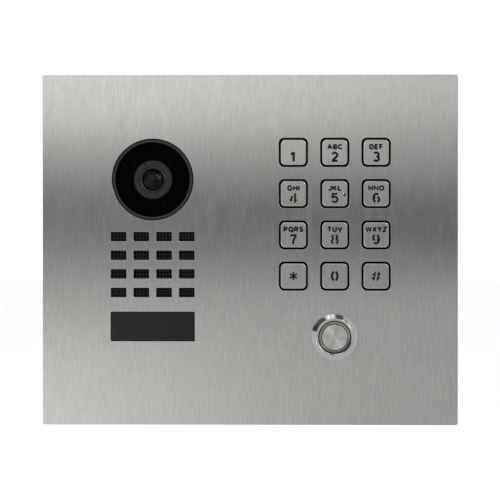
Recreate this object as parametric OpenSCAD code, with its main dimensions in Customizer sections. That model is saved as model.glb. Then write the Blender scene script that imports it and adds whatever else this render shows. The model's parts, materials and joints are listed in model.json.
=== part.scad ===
// Door intercom panel for a flush wall box: a brushed steel front plate with a camera,
// a speaker grille, a reader window, a telephone keypad and a call button.
// Millimetres. X runs to the right, Z up and Y into the wall.
// The plate's rear face lies on the wall, y = 0, and its front face is at y = -plate_t.

/* [Front plate] */
// width of the front plate
plate_w = 184; // [176:1:210]
// height of the front plate
plate_h = 155; // [147:1:180]
// thickness of the front plate
plate_t = 3; // [2:0.5:4]
// radius of the plate's four corners
plate_corner_r = 0.7; // [0.2:0.1:4]
// distance of the camera, grille and window to the left of the plate's centre
left_x = 43.1; // [42:0.1:44]

/* [Camera] */
// height of the camera's axis above the plate's centre
camera_z = 31.2; // [30:0.1:33]
// diameter of the camera's hole in the plate
camera_hole_d = 36.2; // [35.9:0.1:38]
// outer diameter of the camera's ring
camera_ring_d = 35.8; // [34:0.1:35.8]
// diameter of the clear cover inside the ring
camera_cover_d = 33; // [30:0.1:33]
// diameter of the lens barrel's front flange
lens_flange_d = 17.2; // [14:0.1:17.2]
// side of the square camera board
camera_board_w = 39; // [36:1:39]
// distance of the camera's standoffs from its axis, along X and Z
camera_standoff = 17; // [17:0.1:17.5]

/* [Speaker grille] */
// height of the grille's centre below the plate's centre
grille_drop = 6.45; // [6:0.1:7]
// width of one slot
slot_w = 6.8; // [5:0.1:8]
// height of one slot
slot_h = 4.0; // [3:0.1:6]
// distance between slots along X
slot_pitch_x = 10.1; // [9:0.1:11]
// distance between slots along Z
slot_pitch_z = 8.27; // [7:0.01:9]
// number of slots in each row and in each column
slots = 4; // [3:1:5]
// width of the mesh, gasket and bracket behind the grille
grille_back_w = 42; // [40:1:44]
// height of the mesh, gasket and bracket behind the grille
grille_back_h = 33; // [31:1:33]
// outer diameter of the speaker
speaker_d = 28.4; // [26:0.1:28.4]
// outer diameter of the microphone's rubber boot
boot_d = 8; // [7:0.1:8]

/* [Reader window] */
// height of the window's centre below the plate's centre
window_drop = 33.95; // [33:0.1:35]
// width of the window's hole in the plate
window_w = 37.1; // [30:0.1:38]
// height of the window's hole in the plate
window_h = 12.85; // [10:0.1:14]
// distance of the reader's standoffs from the window's centre along X
reader_standoff_x = 22; // [21.8:0.1:22.2]
// distance of the reader's standoffs from the window's centre along Z
reader_standoff_z = 8; // [7.5:0.1:8.2]

/* [Keypad] */
// distance of the middle column to the right of the plate's centre
keypad_x = 37.6; // [37:0.1:38]
// height of the top row of keys above the plate's centre
top_row_z = 43.2; // [42:0.1:44]
// distance between columns
key_pitch_x = 18.3; // [17.5:0.1:18.5]
// distance between rows
key_pitch_z = 18.25; // [17.5:0.05:18.5]
// side of a key's square hole in the plate
key_hole = 12.85; // [12:0.05:13.5]
// side of a key's square face
key_face = 11.35; // [10:0.05:11.6]
// how far a key stands out of the plate
key_proud = 0.6; // [0.4:0.1:1.2]
// how far a key travels when it is pressed
key_travel = 0.8; // [0.4:0.1:0.8]

/* [Call button] */
// height of the call button's axis below the plate's centre
button_drop = 38.6; // [38:0.1:40]
// diameter of the button's hole in the plate
button_hole_d = 19.2; // [19.0:0.1:20]
// outer diameter of the button's bezel
bezel_d = 21.1; // [20.5:0.1:22]
// diameter of the button's cap
cap_d = 14; // [12:0.1:14]
// diameter of the flat face of the cap
cap_face_d = 11.2; // [9:0.1:12]
// across the flats of the button's nut
button_nut_af = 22; // [22:1:24]

/* [Case] */
// width of the chassis behind the plate
chassis_w = 140; // [140:1:142]
// height of the chassis behind the plate
chassis_h = 124; // [124:1:126]
// depth of the chassis
chassis_d = 28; // [28:1:30]
// wall of the chassis and thickness of its rear cover
case_wall = 2; // [1.5:0.1:2]
// width of the main board
main_board_w = 130; // [120:1:132]
// height of the main board
main_board_h = 104; // [100:1:104]
// thickness of every circuit board
board_t = 1.6; // [1:0.1:1.6]

/* [Wall box] */
// outer width of the wall box
box_w = 164; // [164:1:168]
// outer height of the wall box
box_h = 135; // [134:1:140]
// depth of the wall box behind the wall's surface
box_depth = 46.5; // [44:0.5:60]
// wall of the wall box
box_wall = 2; // [1.5:0.1:2.5]
// width of the box's flange outside its wall
box_flange = 4; // [3:0.5:5]
// distance between the wall screws along X
wall_screw_x = 120; // [100:1:140]
// distance between the wall screws along Z
wall_screw_z = 90; // [70:1:110]
// diameter of the wall screw holes
wall_screw_d = 5; // [4:0.5:6]
// diameter of the hole that the cable grommet plugs
cable_hole_d = 20; // [16:1:24]
// diameter of the grommet's cable hole
cable_d = 8; // [6:0.5:10]
// height of the cable hole below the box's centre
cable_drop = 50; // [40:1:52]
// diameter of the knock-outs in the box's walls
knock_out_d = 20; // [16:0.5:22]

/* [Hidden] */

// small gap between a part and the hole it sits in
fit = 0.05;
// extra length of a cutting tool past the face it cuts
cut = 1;

// depths of the camera's pieces
ring_front = -plate_t - 0.4;
cover_back = -plate_t + 1.6;
shroud_front = -0.2;
camera_board_y = 14;

// depths of the speaker's pieces
mesh_t = 0.3;
speaker_gasket_back = 1.5;
bracket_back = 3;
basket_back = 9;

// depths of the reader's pieces
window_flange_back = 1.2;
reader_board_y = 2.4;
reader_board_t = 1.2;

// depths and sizes of the keypad's pieces
key_flange = 14.2;
key_flange_front = 0.3;
key_flange_back = 1.3;
plunger_back = 3;
frame_back = plunger_back + key_travel + 0.6;
mat_back = frame_back + 1;
keypad_board_back = mat_back + board_t;
pocket = key_flange + 0.7;
keypad_z = top_row_z - 1.5 * key_pitch_z;
frame_w = 60;
frame_h = 3 * key_pitch_z + pocket + 6.6;
keypad_stud_z = [keypad_z + key_pitch_z, keypad_z - key_pitch_z];
keypad_stud_x = [keypad_x - 27.7, keypad_x - key_pitch_x / 2, keypad_x + key_pitch_x / 2,
    keypad_x + 27.7];

// depths of the call button's pieces
step_y = 2.5;
switch_front = 8;
switch_back = 16;
button_seal_t = 1;
button_nut_t = 3.5;

// the case
inner_w = chassis_w - 2 * case_wall;
inner_h = chassis_h - 2 * case_wall;
lug_w = 8;
lug_h = 6;
lug_t = 2.5;
lug_z = inner_h / 2 - 2.9;
lug_x = 60;
corner_boss = 7;
corner_x = inner_w / 2 - corner_boss / 2;
corner_z = inner_h / 2 - corner_boss / 2;
corner_front = 10;
main_board_y = 22;
main_board_back = main_board_y + board_t;
board_post_x = 60;
board_post_z = 47;
cover_back_y = chassis_d + case_wall;

// the wall box
gasket_t = 1.5;
flange_t = 2;
box_inner_w = box_w - 2 * box_wall;
box_inner_h = box_h - 2 * box_wall;
snap_x = 75;
snap_z = 40;
snap_r = 3;
clip_back = 16;
knock_out_y = 28;
knock_out_depth = 1;
rib_w = 1.6;
rib_proud = 2;

// the flat cables' plugs
plug_w = 5;
plug_h = 12;
plug_t = 1.8;

module rounded_rect(w, h, r) {
    square([w - 2 * r, h], center = true);
    square([w, h - 2 * r], center = true);
    for (x = [-1, 1], z = [-1, 1])
        translate([x * (w / 2 - r), z * (h / 2 - r)])
            circle(r);
}

module rounded_frame(w, h, r, band) {
    difference() {
        rounded_rect(w, h, r);
        rounded_rect(w - 2 * band, h - 2 * band, max(r - band, 0.2));
    }
}

// a flat shape drawn in X and Z, from the front depth to the back depth
module slab(front, back) {
    translate([0, back, 0])
        rotate([90, 0, 0])
            linear_extrude(back - front)
                children();
}

// a profile drawn as radius and depth, turned about an axis along Y
module turned() {
    rotate([-90, 0, 0])
        rotate_extrude()
            children();
}

// a round bar along Y
module rod(r, front, back) {
    slab(front, back)
        circle(r);
}

module block(w, h, front, back) {
    slab(front, back)
        square([w, h], center = true);
}

module at(x, z) {
    translate([x, 0, z])
        children();
}

module at_corners(x, z) {
    for (sx = [-1, 1], sz = [-1, 1])
        at(sx * x, sz * z)
            children();
}

module at_camera() {
    at(-left_x, camera_z)
        children();
}

module at_grille() {
    at(-left_x, -grille_drop)
        children();
}

module at_window() {
    at(-left_x, -window_drop)
        children();
}

module at_button() {
    at(keypad_x, -button_drop)
        children();
}

module at_microphone() {
    at(-left_x - 1.5 * slot_pitch_x, -grille_drop - 1.5 * slot_pitch_z)
        children();
}

module at_key(column, row) {
    at(keypad_x + (column - 1) * key_pitch_x, top_row_z - row * key_pitch_z)
        children();
}

module at_all_keys() {
    for (column = [0:2], row = [0:3])
        at_key(column, row)
            children();
}

module at_keypad_studs() {
    for (x = keypad_stud_x, z = keypad_stud_z)
        at(x, z)
            children();
}

module at_lugs() {
    for (x = [-lug_x, 0, lug_x], side = [-1, 1])
        at(x, side * lug_z)
            children();
}

module at_slots() {
    middle = (slots - 1) / 2;
    for (i = [0:slots - 1], j = [0:slots - 1])
        at((i - middle) * slot_pitch_x, (j - middle) * slot_pitch_z)
            children();
}

module front_plate() {
    color("silver")
        difference() {
            slab(-plate_t, 0)
                rounded_rect(plate_w, plate_h, plate_corner_r);
            at_camera()
                rod(camera_hole_d / 2, -plate_t - cut, cut);
            at_grille()
                at_slots()
                    slab(-plate_t - cut, cut)
                        rounded_rect(slot_w, slot_h, 0.35);
            at_window()
                slab(-plate_t - cut, cut)
                    rounded_rect(window_w, window_h, 0.4);
            at_all_keys()
                slab(-plate_t - cut, cut)
                    rounded_rect(key_hole, key_hole, 2.4);
            at_button()
                rod(button_hole_d / 2, -plate_t - cut, cut);
        }
}

module weld_studs() {
    color("lightgray") {
        at_lugs()
            rod(1.5, 0, 7);
        at_keypad_studs()
            rod(1.25, 0, 10);
        at_corners(snap_x, snap_z)
            turned()
                polygon([[0, 0], [snap_r, 0], [snap_r, 7], [snap_r - 0.6, 8],
                    [snap_r - 0.6, 9.5], [snap_r, 10.5], [snap_r, 11.5], [snap_r - 1, 13],
                    [0, 13]]);
    }
}

module snap_clips() {
    leaf_t = 0.6;
    color("darkgray")
        at_corners(snap_x, snap_z)
            difference() {
                block(6, 2 * (snap_r + fit + leaf_t), 5, clip_back);
                block(6 + cut, 2 * (snap_r + fit), 5 - cut, clip_back - leaf_t);
            }
}

module panel_gasket() {
    color([0.12, 0.12, 0.12])
        slab(0, gasket_t)
            difference() {
                rounded_rect(box_w + 2 * box_flange - 1, box_h + 2 * box_flange - 1, 3);
                rounded_rect(box_inner_w + 1, box_inner_h + 1, 3);
            }
}

module grille_mesh() {
    color([0.16, 0.16, 0.15])
        at_grille()
            block(grille_back_w, grille_back_h, 0, mesh_t);
}

module reader_window() {
    color([0.15, 0.14, 0.15])
        at_window() {
            slab(-plate_t, 0)
                rounded_rect(window_w - 0.2, window_h - 0.2, 0.3);
            block(40, 16.5, 0, window_flange_back);
        }
}

module camera_ring() {
    ring_r = camera_ring_d / 2;
    seat_r = camera_cover_d / 2 + fit;
    color([0.1, 0.1, 0.1])
        at_camera()
            turned()
                polygon([[seat_r, ring_front], [ring_r - 0.3, ring_front],
                    [ring_r, ring_front + 0.3], [ring_r, 0], [20.5, 0], [20.5, 1.6],
                    [16.5, 1.6], [16.5, 0.6], [15.4, 0.6], [15.4, cover_back],
                    [seat_r, cover_back]]);
}

module camera_cover() {
    color([0.1, 0.1, 0.1, 0.4])
        at_camera()
            rod(camera_cover_d / 2, -plate_t, cover_back);
}

module camera_shroud() {
    color([0.03, 0.03, 0.03])
        at_camera()
            turned()
                polygon([[lens_flange_d / 2 + 0.1, shroud_front], [15.3, shroud_front],
                    [15.3, camera_board_y], [14.2, camera_board_y], [14.2, 0.8],
                    [lens_flange_d / 2 + 0.1, 0.8]]);
}

module lens_barrel() {
    flange_r = lens_flange_d / 2;
    color([0.2, 0.2, 0.2])
        at_camera()
            turned()
                polygon([[5.6, -0.7], [flange_r - 0.3, -0.7], [flange_r, -0.4],
                    [flange_r, 2.2], [5.95, 2.2], [5.95, 12.6], [4.2, 12.6], [4.2, 3.4],
                    [4.75, 3.4], [4.75, 0.4]]);
}

module front_lens() {
    bulge_r = 9;
    color([0.15, 0.17, 0.25, 0.5])
        at_camera()
            intersection() {
                rod(4.7, -2, 3.3);
                translate([0, bulge_r - 0.7, 0])
                    sphere(bulge_r);
            }
}

module lens_lock_ring() {
    color([0.25, 0.25, 0.25])
        at_camera()
            slab(4.6, 6.2)
                difference() {
                    circle(8);
                    circle(5.95 + fit);
                }
}

module lens_holder() {
    color([0.12, 0.12, 0.12])
        at_camera()
            difference() {
                union() {
                    rod(7.5, 6.6, 12.5);
                    block(18, 18, 12.5, camera_board_y);
                }
                rod(5.95 + fit, 6.6 - cut, camera_board_y + cut);
            }
}

module image_sensor() {
    color([0.3, 0.35, 0.4])
        at_camera()
            block(7, 6, camera_board_y - 0.9, camera_board_y);
}

module camera_board() {
    color("darkgreen")
        at_camera()
            difference() {
                block(camera_board_w, camera_board_w, camera_board_y,
                    camera_board_y + board_t);
                at_corners(camera_standoff, camera_standoff)
                    rod(1.3, camera_board_y - cut, camera_board_y + board_t + cut);
            }
}

module standoffs() {
    color([0.8, 0.68, 0.35]) {
        at_camera()
            at_corners(camera_standoff, camera_standoff)
                difference() {
                    slab(0, camera_board_y)
                        circle(2.85, $fn = 6);
                    rod(1.25, 6, camera_board_y + cut);
                }
        at_window()
            at_corners(reader_standoff_x, reader_standoff_z)
                difference() {
                    rod(1.75, 0, reader_board_y);
                    rod(1.25, 0.6, reader_board_y + cut);
                }
    }
}

// a pan-head screw whose head sits on the given depth and whose shank runs forwards
module pan_screw(shank_r, shank_l, head_r, seat) {
    rod(shank_r, seat - shank_l, seat);
    rod(head_r, seat, seat + 0.6 * head_r);
}

module module_screws() {
    color("silver") {
        at_camera()
            at_corners(camera_standoff, camera_standoff)
                pan_screw(1.2, 7, 2.2, camera_board_y + board_t);
        at_window()
            at_corners(reader_standoff_x, reader_standoff_z)
                pan_screw(1.2, 2.8, 1.7, reader_board_y + reader_board_t);
    }
}

module speaker_gasket() {
    color([0.1, 0.1, 0.1])
        difference() {
            at_grille()
                slab(mesh_t, speaker_gasket_back)
                    difference() {
                        square([grille_back_w, grille_back_h], center = true);
                        square([grille_back_w - 4, grille_back_h - 3.5], center = true);
                    }
            at_microphone()
                rod(boot_d / 2 + 0.1, mesh_t - cut, speaker_gasket_back + cut);
        }
}

module speaker_bracket() {
    color([0.15, 0.15, 0.15])
        difference() {
            at_grille()
                union() {
                    block(grille_back_w, grille_back_h, speaker_gasket_back, bracket_back);
                    rod(speaker_d / 2 + 1.6, bracket_back, 6);
                }
            at_grille()
                rod(13, 0, bracket_back + cut);
            at_grille()
                rod(speaker_d / 2 + 0.1, bracket_back, 6 + cut);
            at_microphone()
                rod(boot_d / 2 + 0.1, 0, 6 + cut);
        }
}

module speaker_frame() {
    rim_r = speaker_d / 2;
    color("dimgray")
        at_grille()
            turned()
                polygon([[rim_r - 1.6, bracket_back], [rim_r, bracket_back],
                    [rim_r, bracket_back + 1.2], [rim_r - 0.8, bracket_back + 1.2],
                    [9.6, 8], [9.6, basket_back], [4, basket_back], [4, 8.2], [8.8, 8.2],
                    [8.8, 7.6], [rim_r - 1.6, bracket_back + 0.8]]);
}

module speaker_cone() {
    rim_r = speaker_d / 2 - 1.7;
    color([0.2, 0.2, 0.22])
        at_grille()
            turned()
                polygon([[0, 3.6], [3.5, 4.2], [4.2, 5.8], [rim_r - 2, 3.6],
                    [rim_r - 1, 3.1], [rim_r, 3.1], [rim_r, 3.4], [rim_r - 1, 3.4],
                    [4.3, 6.3], [3.2, 4.5], [0, 3.9]]);
}

module speaker_magnet() {
    color("gray")
        at_grille()
            rod(8, basket_back, 13);
}

module microphone() {
    color("lightgray")
        at_microphone()
            rod(3, 2, 4.4);
}

module microphone_boot() {
    color([0.08, 0.08, 0.08])
        at_microphone()
            turned()
                polygon([[0.8, mesh_t], [boot_d / 2, mesh_t], [boot_d / 2, 5.2],
                    [2.4, 5.2], [2.4, 4.45], [3 + fit, 4.45], [3 + fit, 1.95],
                    [0.8, 1.95]]);
}

module reader_board() {
    color("darkgreen")
        at_window()
            difference() {
                block(48, 20, reader_board_y, reader_board_y + reader_board_t);
                at_corners(reader_standoff_x, reader_standoff_z)
                    rod(1.3, reader_board_y - cut, reader_board_y + 2 * cut + 1);
            }
}

module antenna_coil() {
    turn = 1;
    color([0.75, 0.5, 0.3])
        at_window()
            for (i = [0:4])
                slab(reader_board_y - 0.15, reader_board_y)
                    rounded_frame(36 - 2 * i * turn, 15 - 2 * i * turn, 2, 0.5);
}

module key(column, row) {
    color("silver")
        at_key(column, row) {
            slab(-plate_t - key_proud, key_flange_front)
                rounded_rect(key_face, key_face, 1.9);
            slab(key_flange_front, key_flange_back)
                rounded_rect(key_flange, key_flange, 2.4);
            rod(2.2, key_flange_back, plunger_back);
        }
}

module keypad_frame() {
    color([0.1, 0.1, 0.1])
        difference() {
            at(keypad_x, keypad_z)
                block(frame_w, frame_h, 0, frame_back);
            at_all_keys()
                block(pocket, pocket, -cut, frame_back + cut);
            at_keypad_studs()
                rod(1.4, -cut, frame_back + cut);
        }
}

module keypad_mat() {
    color([0.25, 0.25, 0.27])
        difference() {
            union() {
                at(keypad_x, keypad_z)
                    block(frame_w, frame_h, frame_back, mat_back);
                at_all_keys()
                    turned()
                        polygon([[0, plunger_back], [2.4, plunger_back], [2.6, 3.4],
                            [4.6, frame_back], [0, frame_back]]);
            }
            at_all_keys()
                turned()
                    polygon([[0, 3.7], [1.8, 3.7], [3.9, frame_back],
                        [3.9, mat_back + cut], [0, mat_back + cut]]);
            at_keypad_studs()
                rod(1.4, frame_back - cut, mat_back + cut);
        }
}

module keypad_board() {
    color("darkgreen")
        difference() {
            at(keypad_x, keypad_z)
                block(frame_w, frame_h, mat_back, keypad_board_back);
            at_keypad_studs()
                rod(1.4, mat_back - cut, keypad_board_back + cut);
        }
}

module call_button_housing() {
    bezel_r = bezel_d / 2;
    bore_r = cap_d / 2 + 0.35;
    color("lightgray")
        at_button()
            turned()
                polygon([[bore_r, -plate_t - 1.7], [bore_r + 0.4, -plate_t - 2.1],
                    [bore_r + 1, -plate_t - 2.1], [bezel_r - 0.4, -plate_t - 0.8],
                    [bezel_r, -plate_t - 0.4], [bezel_r, -plate_t], [9.4, -plate_t],
                    [9.4, switch_back], [7.7, switch_back], [7.7, switch_front],
                    [8, switch_front], [8, step_y], [bore_r, step_y]]);
}

module call_button_cap() {
    cap_r = cap_d / 2;
    face_y = -plate_t - 1.9;
    color("silver")
        at_button()
            turned()
                polygon([[0, face_y], [cap_face_d / 2, face_y], [cap_r - 0.1, face_y + 0.8],
                    [cap_r, face_y + 1], [cap_r, step_y + 0.3], [7.6, step_y + 0.3],
                    [7.6, step_y + 1.3], [5.4, step_y + 1.3], [5.4, -2.6], [2.5, -2.6],
                    [2.5, 4.5], [0, 4.5]]);
}

// the spring's turns are drawn as separate closed rings
module call_button_spring() {
    turns = 7;
    wire_r = 0.4;
    front = -2.6 + wire_r;
    back = switch_front - wire_r;
    color("gray")
        at_button()
            for (i = [0:turns - 1])
                translate([0, front + i * (back - front) / (turns - 1), 0])
                    turned()
                        translate([4, 0])
                            circle(wire_r);
}

module call_button_seal() {
    color([0.08, 0.08, 0.08])
        at_button()
            slab(0, button_seal_t)
                difference() {
                    circle(10.9);
                    circle(button_hole_d / 2);
                }
}

module call_button_nut() {
    color("silver")
        at_button()
            slab(button_seal_t, button_seal_t + button_nut_t)
                difference() {
                    circle(button_nut_af / sqrt(3), $fn = 6);
                    circle(9.4 + fit);
                }
}

module call_button_switch() {
    lug_l = 4;
    color([0.1, 0.1, 0.1])
        at_button() {
            rod(1.5, 6, switch_front);
            rod(7.6, switch_front, switch_back);
            for (x = [-4, 0, 4])
                at(x, 0)
                    block(0.8, 2.8, switch_back, switch_back + lug_l);
        }
}

module chassis() {
    color([0.12, 0.12, 0.12])
        difference() {
            union() {
                slab(0, chassis_d)
                    rounded_frame(chassis_w, chassis_h, 3, case_wall);
                at_lugs()
                    block(lug_w, lug_h, 0, lug_t);
                at_corners(corner_x, corner_z)
                    block(corner_boss + 0.4, corner_boss + 0.4, corner_front, chassis_d);
            }
            at_lugs()
                rod(1.7, -cut, lug_t + cut);
            at_corners(corner_x, corner_z)
                rod(1.45, 16, chassis_d + cut);
        }
}

module hex_nut(flats, hole_r, turn, front, back) {
    slab(front, back)
        difference() {
            rotate(turn)
                circle(flats / sqrt(3), $fn = 6);
            circle(hole_r);
        }
}

module stud_nuts() {
    color("silver") {
        at_lugs()
            hex_nut(5.5, 1.5 + fit, 0, lug_t, lug_t + 2.4);
        at_keypad_studs()
            hex_nut(5, 1.25 + fit, 30, keypad_board_back, keypad_board_back + 2);
    }
}

module at_socket() {
    at(-25, -34.5)
        children();
}

module at_terminals() {
    at(25, -38)
        children();
}

module rear_cover() {
    color([0.15, 0.15, 0.15])
        difference() {
            union() {
                slab(chassis_d, cover_back_y)
                    rounded_rect(chassis_w, chassis_h, 3);
                at_corners(board_post_x, board_post_z)
                    rod(3, main_board_back, chassis_d);
            }
            at_corners(corner_x, corner_z)
                rod(1.6, chassis_d - cut, cover_back_y + cut);
            at_corners(board_post_x, board_post_z)
                rod(1.45, main_board_back - cut, cover_back_y - 0.8);
            at_socket()
                block(17.5, 22, chassis_d - cut, cover_back_y + cut);
            at_terminals()
                block(41, 15, chassis_d - cut, cover_back_y + cut);
        }
}

module case_screws() {
    color("silver") {
        at_corners(corner_x, corner_z)
            pan_screw(1.4, 10, 2.7, cover_back_y);
        at_corners(board_post_x, board_post_z) {
            rod(1.4, main_board_y, main_board_y + 6);
            rod(2.7, main_board_y - 1.6, main_board_y);
        }
    }
}

module main_board() {
    color("darkgreen")
        difference() {
            block(main_board_w, main_board_h, main_board_y, main_board_back);
            at_corners(board_post_x, board_post_z)
                rod(1.6, main_board_y - cut, main_board_back + cut);
        }
}

module board_chips() {
    color([0.1, 0.1, 0.1]) {
        at(37.6, 22)
            block(17, 17, main_board_y - 1.8, main_board_y);
        for (x = [16, 58])
            at(x, 22)
                block(11, 13, main_board_y - 1.2, main_board_y);
        at(-45, 30)
            block(12, 12, main_board_y - 1.5, main_board_y);
        at(0, -38)
            block(14, 14, main_board_y - 8, main_board_y);
    }
}

module relays() {
    color([0.15, 0.3, 0.6])
        for (x = [-50, -31])
            at(x, -36)
                block(12, 16, main_board_y - 10, main_board_y);
}

module capacitors() {
    color([0.15, 0.15, 0.2])
        for (z = [12, 2, -8])
            at(-12, z)
                rod(4, main_board_y - 12, main_board_y);
}

module terminal_block() {
    poles = 8;
    pitch = 5;
    color([0.1, 0.45, 0.2])
        at_terminals()
            difference() {
                block(poles * pitch, 14, main_board_back, 34.6);
                for (i = [0:poles - 1])
                    at((i - (poles - 1) / 2) * pitch, 0) {
                        rod(1.6, 33, 34.6 + cut);
                        translate([0, 30, -7 - cut])
                            cylinder(h = 6 + cut, r = 1.6);
                    }
            }
}

module network_socket() {
    color([0.75, 0.75, 0.75])
        at_socket()
            difference() {
                block(16.5, 21, main_board_back, 37.1);
                translate([-6, main_board_back + 2, -10.5 - cut])
                    cube([12, 9, 16 + cut]);
            }
}

// a flat cable that steps from one depth to another at the bend
module ribbon(start_x, start_y, bend_x, end_x, end_y, z) {
    tape_t = 0.3;
    width = plug_h - 2;
    direction = sign(end_x - start_x);
    translate([min(start_x, bend_x), start_y, z - width / 2])
        cube([abs(bend_x - start_x) + (direction > 0 ? tape_t : 0), tape_t, width]);
    translate([bend_x, start_y, z - width / 2])
        cube([tape_t, end_y - start_y + tape_t, width]);
    translate([min(end_x, bend_x), end_y, z - width / 2])
        cube([abs(bend_x - end_x), tape_t, width]);
}

module ribbon_cables() {
    camera_back = camera_board_y + board_t;
    reader_back = reader_board_y + reader_board_t;
    color([0.85, 0.85, 0.82]) {
        at(-31.5, camera_z)
            block(plug_w, plug_h, camera_back, camera_back + plug_t);
        at(-12.5, camera_z)
            block(plug_w, plug_h, main_board_y - plug_t, main_board_y);
        ribbon(-29, camera_back + 0.8, -20, -15, main_board_y - 1, camera_z);
        at(22.5, keypad_z)
            block(plug_w, plug_h, keypad_board_back, keypad_board_back + plug_t);
        at(-3.5, keypad_z)
            block(plug_w, plug_h, main_board_y - plug_t, main_board_y);
        ribbon(20, keypad_board_back + 0.8, 3, -1, main_board_y - 1, keypad_z);
        at(-28.5, -window_drop)
            block(plug_w, plug_h, reader_back, reader_back + plug_t);
        at(-11.5, -window_drop)
            block(plug_w, plug_h, main_board_y - plug_t, main_board_y);
        ribbon(-26, reader_back + 0.8, -18, -14, main_board_y - 1, -window_drop);
    }
}

// the ring-shaped groove round a knock-out, cut down from z = 0
module knock_out_groove() {
    translate([0, 0, -knock_out_depth])
        linear_extrude(knock_out_depth + cut)
            difference() {
                circle(knock_out_d / 2);
                circle(knock_out_d / 2 - 1.2);
            }
}

module box_knock_outs() {
    for (x = [-45, 0, 45], side = [0, 180])
        rotate([side, 0, 0])
            translate([x, side > 0 ? -knock_out_y : knock_out_y, box_h / 2])
                knock_out_groove();
    for (side = [-1, 1], z = [-36, 0, 36])
        translate([side * box_w / 2, knock_out_y, z])
            rotate([0, side * 90, 0])
                knock_out_groove();
    for (x = [-32, 32])
        translate([x, box_depth, 0])
            rotate([-90, 0, 0])
                knock_out_groove();
}

// ribs that key the box into the plaster, along the depth of its four walls
module box_ribs() {
    for (x = [-67, -23, 23, 67], side = [-1, 1])
        at(x, side * (box_h + rib_proud - 1) / 2)
            block(rib_w, rib_proud + 1, gasket_t, box_depth - 6);
    for (side = [-1, 1], z = [-54, -18, 18, 54])
        at(side * (box_w + rib_proud - 1) / 2, z)
            block(rib_proud + 1, rib_w, gasket_t, box_depth - 6);
}

module back_box() {
    color([0.3, 0.3, 0.32])
        difference() {
            union() {
                slab(gasket_t, box_depth)
                    rounded_rect(box_w, box_h, 4);
                slab(gasket_t, gasket_t + flange_t)
                    rounded_rect(box_w + 2 * box_flange, box_h + 2 * box_flange, 4);
                box_ribs();
            }
            box_knock_outs();
            difference() {
                slab(gasket_t - cut, box_depth - box_wall)
                    rounded_rect(box_inner_w, box_inner_h, 2);
                for (side = [-1, 1], z = [-snap_z, snap_z])
                    at(side * (box_inner_w / 2 - 4), z)
                        block(10, 16, clip_back, clip_back + 2);
            }
            at_corners(wall_screw_x / 2, wall_screw_z / 2)
                rod(wall_screw_d / 2, box_depth - box_wall - cut, box_depth + cut);
            at(0, -cable_drop)
                rod(cable_hole_d / 2, box_depth - box_wall - cut, box_depth + cut);
        }
}

module cable_grommet() {
    wall_front = box_depth - box_wall;
    hole_r = cable_hole_d / 2;
    color([0.06, 0.06, 0.06])
        at(0, -cable_drop)
            turned()
                polygon([[cable_d / 2, wall_front - 1], [hole_r + 1.5, wall_front - 1],
                    [hole_r + 1.5, wall_front], [hole_r, wall_front], [hole_r, box_depth],
                    [hole_r + 1.5, box_depth], [hole_r + 1.5, box_depth + 1],
                    [cable_d / 2, box_depth + 1]]);
}

front_plate();
weld_studs();
snap_clips();
panel_gasket();
grille_mesh();
reader_window();
camera_ring();
camera_cover();
camera_shroud();
lens_barrel();
front_lens();
lens_lock_ring();
lens_holder();
image_sensor();
camera_board();
standoffs();
module_screws();
speaker_gasket();
speaker_bracket();
speaker_frame();
speaker_cone();
speaker_magnet();
microphone();
microphone_boot();
reader_board();
antenna_coil();
key(0, 0);  // key_1
key(1, 0);  // key_2
key(2, 0);  // key_3
key(0, 1);  // key_4
key(1, 1);  // key_5
key(2, 1);  // key_6
key(0, 2);  // key_7
key(1, 2);  // key_8
key(2, 2);  // key_9
key(0, 3);  // key_star
key(1, 3);  // key_0
key(2, 3);  // key_hash
keypad_frame();
keypad_mat();
keypad_board();
call_button_housing();
call_button_cap();
call_button_spring();
call_button_seal();
call_button_nut();
call_button_switch();
chassis();
stud_nuts();
rear_cover();
case_screws();
main_board();
board_chips();
relays();
capacitors();
terminal_block();
network_socket();
ribbon_cables();
back_box();
cable_grommet();
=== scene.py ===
import json
import math

import bmesh
import bpy
from mathutils import Matrix, Vector


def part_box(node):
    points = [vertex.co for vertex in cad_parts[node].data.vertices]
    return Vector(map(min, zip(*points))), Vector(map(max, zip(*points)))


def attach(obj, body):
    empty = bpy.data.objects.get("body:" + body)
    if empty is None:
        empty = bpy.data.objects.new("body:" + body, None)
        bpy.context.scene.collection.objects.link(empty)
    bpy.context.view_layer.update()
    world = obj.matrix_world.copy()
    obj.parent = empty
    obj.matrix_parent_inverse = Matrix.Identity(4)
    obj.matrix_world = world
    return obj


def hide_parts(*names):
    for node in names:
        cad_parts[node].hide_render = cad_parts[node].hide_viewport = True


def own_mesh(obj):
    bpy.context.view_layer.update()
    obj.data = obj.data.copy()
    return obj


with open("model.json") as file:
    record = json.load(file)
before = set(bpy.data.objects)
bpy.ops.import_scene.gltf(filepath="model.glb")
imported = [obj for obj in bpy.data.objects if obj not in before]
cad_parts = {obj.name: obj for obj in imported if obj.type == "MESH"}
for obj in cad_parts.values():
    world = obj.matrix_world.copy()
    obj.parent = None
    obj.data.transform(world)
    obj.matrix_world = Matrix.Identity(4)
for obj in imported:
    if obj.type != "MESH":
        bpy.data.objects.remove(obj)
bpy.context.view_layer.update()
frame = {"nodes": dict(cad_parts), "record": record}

# Shapes are drawn in millimetres and become metres when a mesh is placed.
# X runs to the right, Z up and Y into the wall, as in the frame.
MM = 0.001
ROOT = "panel"
NODES = frame["nodes"]


# ---- places in the frame

def box_mm(node):
    """A node's lowest and highest corners, in millimetres."""
    low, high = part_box(node)
    return Vector(low) / MM, Vector(high) / MM


def centre_of(*names):
    """The middle of the nodes' common box, seen from the front, as (x, z)."""
    corners = [corner for name in names for corner in box_mm(name)]
    xs = [corner.x for corner in corners]
    zs = [corner.z for corner in corners]
    return (min(xs) + max(xs)) / 2, (min(zs) + max(zs)) / 2


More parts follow.
